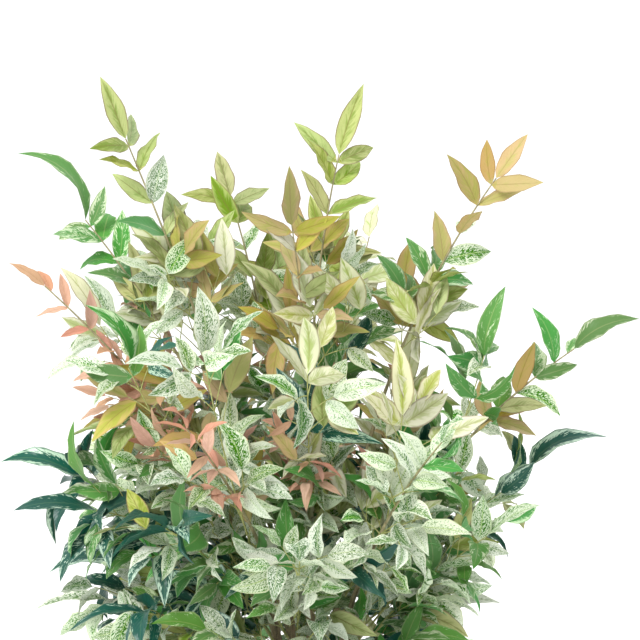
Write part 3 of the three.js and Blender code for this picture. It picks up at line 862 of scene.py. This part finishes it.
# Linear colours of the ground, marks, rib and edge. The marks lean to the rib or, below zero, to the
# edge, and cover more or less, both from leaf to leaf; soft is the width of their border. Grain is
# how fine they are, slant how far they run with the side veins, feather how fine they are across
# the blade, and specked the share of specks against patches. Hue and depth limit each leaf's hue
# and saturation; rough and gloss are its surface, and through its glow in light from behind.
LEAF_FINISHES = {
    "cream": {
        "ground": (0.66, 0.72, 0.575), "marks": (0.060, 0.175, 0.022),
        "rib": (0.42, 0.54, 0.26), "edge": (0.62, 0.68, 0.48),
        "lean": (-0.05, 0.5), "cover": (0.40, 0.53), "soft": 0.05,
        "grain": 17.0, "slant": 1.2, "feather": 1.0, "specked": 0.85,
        "hue": (0.483, 0.516), "depth": (0.75, 1.4), "through": 0.16,
    },
    "teal": {
        "ground": (0.010, 0.083, 0.058), "marks": (0.46, 0.62, 0.48),
        "rib": (0.05, 0.14, 0.08), "edge": (0.05, 0.12, 0.08),
        "lean": (-0.95, -0.05), "cover": (0.24, 0.51), "soft": 0.03,
        "grain": 11.0, "slant": 1.6, "feather": 0.9, "specked": 0.7,
        "hue": (0.485, 0.510), "depth": (0.85, 1.1), "rough": 0.28, "gloss": 0.3, "through": 0.04,
    },
    "green": {
        "ground": (0.07, 0.24, 0.036), "marks": (0.52, 0.64, 0.38),
        "rib": (0.20, 0.32, 0.09), "edge": (0.20, 0.32, 0.12),
        "lean": (-0.9, 0.0), "cover": (0.30, 0.49), "soft": 0.04,
        "grain": 15.0, "slant": 1.6, "specked": 0.6,
        "hue": (0.478, 0.525), "depth": (0.8, 1.0), "rough": 0.40, "gloss": 0.15, "through": 0.14,
    },
    "lime": {
        "ground": (0.62, 0.615, 0.39), "marks": (0.36, 0.42, 0.11),
        "rib": (0.28, 0.28, 0.07), "edge": (0.26, 0.21, 0.11),
        "lean": (0.0, 1.2), "cover": (0.36, 0.54), "soft": 0.14, "grain": 10.0,
        "hue": (0.487, 0.520), "depth": (0.65, 1.05),
    },
    "olive": {
        "ground": (0.41, 0.44, 0.16), "marks": (0.20, 0.26, 0.045),
        "rib": (0.20, 0.17, 0.05), "edge": (0.20, 0.14, 0.08),
        "lean": (0.0, 1.1), "cover": (0.36, 0.58), "soft": 0.16, "grain": 10.0,
        "hue": (0.480, 0.530), "depth": (0.80, 1.15), "rough": 0.42, "through": 0.09,
    },
    "gold": {
        "ground": (0.44, 0.315, 0.14), "marks": (0.34, 0.32, 0.08),
        "rib": (0.28, 0.20, 0.07), "edge": (0.30, 0.19, 0.09),
        "lean": (0.0, 1.0), "cover": (0.34, 0.62), "soft": 0.16, "grain": 8.0,
        "hue": (0.490, 0.520), "depth": (0.85, 1.15),
    },
    "coral": {
        "ground": (0.55, 0.29, 0.20), "marks": (0.46, 0.23, 0.16),
        "rib": (0.42, 0.22, 0.12), "edge": (0.45, 0.23, 0.14),
        "lean": (-0.2, 0.8), "cover": (0.34, 0.56), "soft": 0.14,
        "grain": 8.0, "slant": 1.2, "feather": 0.7,
        "hue": (0.492, 0.525), "depth": (0.8, 1.1), "through": 0.10,
    },
}

BARK = {
    "stretch": 0.12,  # of the streaks' noise along the stem
    "streaks": {"scale": 1.0, "detail": 6.0, "share": 0.7},
    "grain": {"scale": 2.5, "detail": 3.0, "share": 0.3},
    "limits": {"From Min": 0.38, "From Max": 0.64},
    "relief": {"Strength": 0.5, "Distance": 0.0006},
}
# Dark and light tone, scale and roughness.
BARK_FINISHES = {
    "stalk_bark": ((0.17, 0.15, 0.07), (0.36, 0.32, 0.17), 260, 0.6),
    "twig_skin": ((0.22, 0.24, 0.06), (0.46, 0.48, 0.18), 300, 0.55),
    "cane_bark": ((0.10, 0.07, 0.045), (0.30, 0.22, 0.14), 220, 0.8),
    "root_bark": ((0.08, 0.055, 0.035), (0.26, 0.20, 0.14), 120, 0.9),
}


def bark_finish(name, young=None):
    """Bark: streaks along the stem with darker pores, paler to its young end where it has one."""
    dark, light, scale, roughness = BARK_FINISHES[name]
    material, w = blank_material(name)
    place = w.node("ShaderNodeTexCoord").outputs["Object"]
    stretch = (scale, scale, scale * BARK["stretch"])
    stretched = w.out("ShaderNodeMapping", {"Vector": place, "Scale": stretch})
    streaks, grain = BARK["streaks"], BARK["grain"]
    streaked = w.product(w.noise(stretched, streaks["scale"], streaks["detail"]), streaks["share"])
    grained = w.product(w.noise(place, scale * grain["scale"], grain["detail"]), grain["share"])
    field = w.math("ADD", streaked, grained)
    share = w.ramp(field, BARK["limits"])
    colour = w.mixed(share, dark, light)
    if young:
        age = w.node("ShaderNodeAttribute", attribute_name="young").outputs["Fac"]
        new_dark, new_light, *_ = BARK_FINISHES[young]
        colour = w.mixed(age, colour, w.mixed(share, new_dark, new_light))
    relief = w.out("ShaderNodeBump", {"Height": field} | BARK["relief"])
    inputs = {"Base Color": colour, "Roughness": roughness, "Normal": relief}
    surface = w.out("ShaderNodeBsdfPrincipled", inputs)
    w.node("ShaderNodeOutputMaterial", {"Surface": surface})
    return material


# ---- pieces ----
STEM_SIDES = {"stalks": 8, "twigs": 5}


def leaf_pieces(growth, sprays, tree):
    """One piece for each kind of leaflet, standing for the sprays that it leads."""
    for kind in KINDS:
        rows = [leaf for leaf in growth.leaves if leaf["kind"] == kind]
        labels = LEAF_NUMBERS + ("tint",)
        attributes = {label: np.array([row[label] for row in rows]) for label in labels}
        piece = carrier(f"{kind}_leaves", attributes["root"], [], attributes)
        shaped(piece, tree, {"Finish": leaf_finish(f"{kind}_leaf", LEAF_FINISHES[kind])})
        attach(piece, "root")
        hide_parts(*[spray["name"] for spray in sprays if spray["kind"] == kind])


def stem_piece(name, paths, tree, finish):
    """Stems along the given paths, as one mesh."""
    points, edges, radii = [], [], []
    for path, (thick, thin) in paths:
        first = len(points)
        points.extend(path)
        edges.extend((first + i, first + i + 1) for i in range(len(path) - 1))
        radii.extend(np.linspace(thick, thin, len(path)))
    piece = carrier(name, points, edges, {"thickness": radii})
    shaped(piece, tree, {"Sides": STEM_SIDES[name], "Finish": finish})
    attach(piece, "root")


def solid_piece(name, corners, faces, finish):
    """A smooth mesh in one finish."""
    mesh = bpy.data.meshes.new(name)
    mesh.from_pydata([tuple(corner) for corner in corners], [], faces)
    mesh.shade_smooth()
    mesh.materials.append(finish)
    return in_scene(name, mesh)


def between_rings(first, rings, sides):
    """For each face between rings of corners that follow each other: its two corners on the first."""
    for i in range(rings):
        for j in range(sides):
            yield first + i * sides + j, first + i * sides + (j + 1) % sides


CANE_BARK = {  # lengths in metres, swells and depths as shares of the radius
    "sides": 16,
    "steps": 120,
    "scars": 40,
    "scar_spacing": (0.028, 0.052),
    "scar_width": 0.0022,
    "scar_swell": 0.16,
    "on_scars": 0.6,  # how far a scar smooths the furrows away
    "furrows": {"count": 5, "depth": 0.05, "swing": 3, "winding": 40},
    "cracks": {"count": 9, "depth": 0.03, "winding": 90},
}


def cane_piece(canes, finish):
    """The canes with their bark: rings of old leaf scars, and furrows between them."""
    sides, steps = CANE_BARK["sides"], CANE_BARK["steps"]
    furrows, cracks = CANE_BARK["furrows"], CANE_BARK["cracks"]
    corners, faces = [], []
    for cane in canes:
        roll = dice(BARK_SEED + cane["index"])
        line = cane["line"]
        scars = np.cumsum([roll(*CANE_BARK["scar_spacing"]) for _ in range(CANE_BARK["scars"])])
        first = len(corners)
        travelled = 0.0
        before = line.at(0)
        level = unit(np.cross(line.corners[3] - line.corners[0], UP))
        for i in range(steps + 1):
            t = CANE["share"] * i / steps
            centre, along = line.at(t), line.run(t)
            travelled += np.linalg.norm(centre - before)
            before = centre
            across = square_to(along, level)
            other = np.cross(across, along)
            scar = np.exp(-(((scars - travelled) / CANE_BARK["scar_width"]) ** 2)).sum()
            for j in range(sides):
                turn = 2 * math.pi * j / sides
                swing = furrows["swing"] * math.sin(travelled * furrows["winding"] + cane["index"])
                rough = furrows["depth"] * math.sin(furrows["count"] * turn + swing)
                rough += cracks["depth"] * math.sin(cracks["count"] * turn - travelled * cracks["winding"])
                swell = 1 + CANE_BARK["scar_swell"] * scar + rough * (1 - scar * CANE_BARK["on_scars"])
                out = across * math.cos(turn) + other * math.sin(turn)
                corners.append(centre + out * (cane_radius(t) * swell))
        faces.extend((a, a + sides, b + sides, b) for a, b in between_rings(first, steps, sides))
        faces.append(tuple(first + j for j in range(sides)))
        faces.append(tuple(first + steps * sides + j for j in reversed(range(sides))))
    piece = solid_piece("canes", corners, faces, finish)
    ages = np.tile(np.repeat(np.linspace(0, 1, steps + 1), sides), len(canes)).astype(np.float32)
    piece.data.attributes.new("young", "FLOAT", "POINT").data.foreach_set("value", ages)
    return piece


ROOT_BARK = {  # swells and heights as shares of the radius
    "turns": 96,
    "rings": 26,
    "lobes": 5,
    "lobe_swell": 0.09,
    "ridges": {"count": 23, "height": 0.016, "swing": 4, "winding": 7},
    "cracks": {"count": 41, "height": 0.010, "winding": 19},
    "faded": (0.1, 1.2),  # the relief's run of half a turn: where it starts, and how fast it goes
}


def root_piece(finish):
    """The woody root crown: a low flared stool with lobes and bark ridges, cut flat below."""
    turns, rings = ROOT_BARK["turns"], ROOT_BARK["rings"]
    ridges, cracks = ROOT_BARK["ridges"], ROOT_BARK["cracks"]
    start, pace = ROOT_BARK["faded"]
    profile = np.array(ROOT["profile"], float)
    corners, faces = [(0.0, 0.0, 0.0)], []
    for share in np.linspace(0, 1, rings + 1):
        base = ROOT["ground_radius"] * np.interp(share, profile[:, 1], profile[:, 0])
        swing = ridges["swing"] * math.sin(share * ridges["winding"])
        relief = math.sin(math.pi * min(1, share * pace + start))
        for j in range(turns):
            turn = 2 * math.pi * j / turns
            swell = 1 + ROOT_BARK["lobe_swell"] * math.cos(ROOT_BARK["lobes"] * turn) * (1 - share)
            rough = ridges["height"] * math.sin(ridges["count"] * turn + swing)
            rough += cracks["height"] * math.sin(cracks["count"] * turn + share * cracks["winding"])
            radius = base * (swell + rough * relief)
            corners.append((radius * math.cos(turn), radius * math.sin(turn), ROOT["height"] * share))
    corners.append((0.0, 0.0, ROOT["height"]))
    last = len(corners) - 1
    faces.extend((a, b, b + turns, a + turns) for a, b in between_rings(1, rings, turns))
    for j in range(turns):
        after = (j + 1) % turns
        faces.append((0, 1 + after, 1 + j))
        faces.append((last, 1 + rings * turns + j, 1 + rings * turns + after))
    return solid_piece("root_stool", corners, faces, finish)


# ---- the studio ----
AIR_STRENGTH = 1.2
FLOOR = {"reach": 14.0, "tone": (0.99, 0.99, 0.99, 1), "roughness": 0.9}
LAMPS = [  # name, place, size and power
    ("key_light", (-1.6, -2.0, 3.0), 1.6, 105),
    ("rim_light", (1.8, 1.6, 2.6), 1.4, 25),
]
LAMP_TARGET = (0, 0, 0.5)
CAMERA = {"target": (0.014, 0.0, 0.607), "distance": 3.0, "elevation": 8, "view_width": 0.768}


def faced(thing, target):
    """Turns the thing to look at a point."""
    thing.rotation_mode = "QUATERNION"
    thing.rotation_quaternion = (target - thing.location).to_track_quat("-Z", "Y")


def floor():
    paint = bpy.data.materials.new("floor_paint")
    paint.use_nodes = True
    surface = paint.node_tree.nodes["Principled BSDF"]
    surface.inputs["Base Color"].default_value = FLOOR["tone"]
    surface.inputs["Roughness"].default_value = FLOOR["roughness"]
    sides = [(-1, -1), (1, -1), (1, 1), (-1, 1)]
    corners = [(x * FLOOR["reach"], y * FLOOR["reach"], 0) for x, y in sides]
    solid_piece("floor", corners, [(0, 1, 2, 3)], paint)


def soft_light(name, place, size, power):
    light = bpy.data.lights.new(name, "AREA")
    light.shape = "DISK"
    light.size = size
    light.energy = power
    lamp = in_scene(name, light)
    lamp.location = place
    faced(lamp, Vector(LAMP_TARGET))


def studio():
    """A pale floor, soft light all round and a camera at the height of the clump's middle."""
    scene = bpy.context.scene
    scene.view_settings.view_transform = "Standard"
    world = bpy.data.worlds.new("studio_air")
    world.use_nodes = True
    air = world.node_tree.nodes["Background"]
    air.inputs["Color"].default_value = (1.0, 1.0, 1.0, 1)
    air.inputs["Strength"].default_value = AIR_STRENGTH
    scene.world = world
    floor()
    for lamp in LAMPS:
        soft_light(*lamp)

    target, distance = Vector(CAMERA["target"]), CAMERA["distance"]
    elevation = math.radians(CAMERA["elevation"])
    camera = bpy.data.cameras.new("camera")
    camera.lens = camera.sensor_width / 2 / (CAMERA["view_width"] / 2 / distance)
    seat = in_scene("camera", camera)
    seat.location = target + Vector((0, -math.cos(elevation), math.sin(elevation))) * distance
    faced(seat, target)
    scene.camera = seat


def main():
    canes, sprays = clump_lines()
    growth = Growth(canes, sprays)
    for own, spray in enumerate(sprays):
        growth.grow(own, spray)
    leaf_pieces(growth, sprays, blade_tree())

    stems = stem_tree()
    stem_piece("stalks", growth.stalks["tip"], stems, bark_finish("stalk_bark"))
    stem_piece("twigs", growth.twigs + growth.stalks["side"], stems, bark_finish("twig_skin"))

    wood = cane_piece(canes, bark_finish("cane_bark", "stalk_bark"))
    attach(wood, "root")
    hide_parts(*[f"cane_{cane['name']}" for cane in canes])

    stool = root_piece(bark_finish("root_bark"))
    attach(stool, "root")
    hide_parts("root_crown")
    studio()


main()
